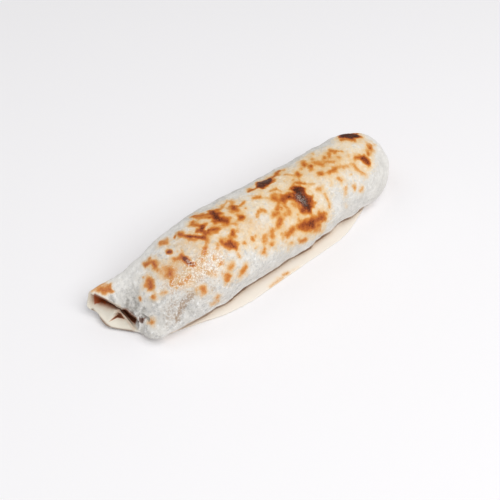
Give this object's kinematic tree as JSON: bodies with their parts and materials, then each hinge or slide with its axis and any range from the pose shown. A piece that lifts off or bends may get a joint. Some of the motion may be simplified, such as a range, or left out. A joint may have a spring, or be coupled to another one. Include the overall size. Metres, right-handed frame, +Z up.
{
  "type": "cheese durum wrap",
  "caption": "Toasted durum wrap lying on its side: a rolled flatbread with one tucked end, one flat open end and a loose sheet edge along its front.",
  "frame": {"origin": "on the surface it lies on, under the middle of the wrap's box", "axes": "+X along the roll from the open end to the tucked end, -Y towards the loose sheet edge, +Z up"},
  "size_m": [0.252, 0.0704, 0.0548],
  "materials": {
    "toasted_flatbread": "Pale floury wheat flatbread, matt with a faint oily sheen on top, toasted in golden, brown and near-black blotches; cream on the sheet's inner face."
  },
  "bodies": {
    "root": {"flatbread_wrap": "toasted_flatbread"}
  },
  "joints": []
}
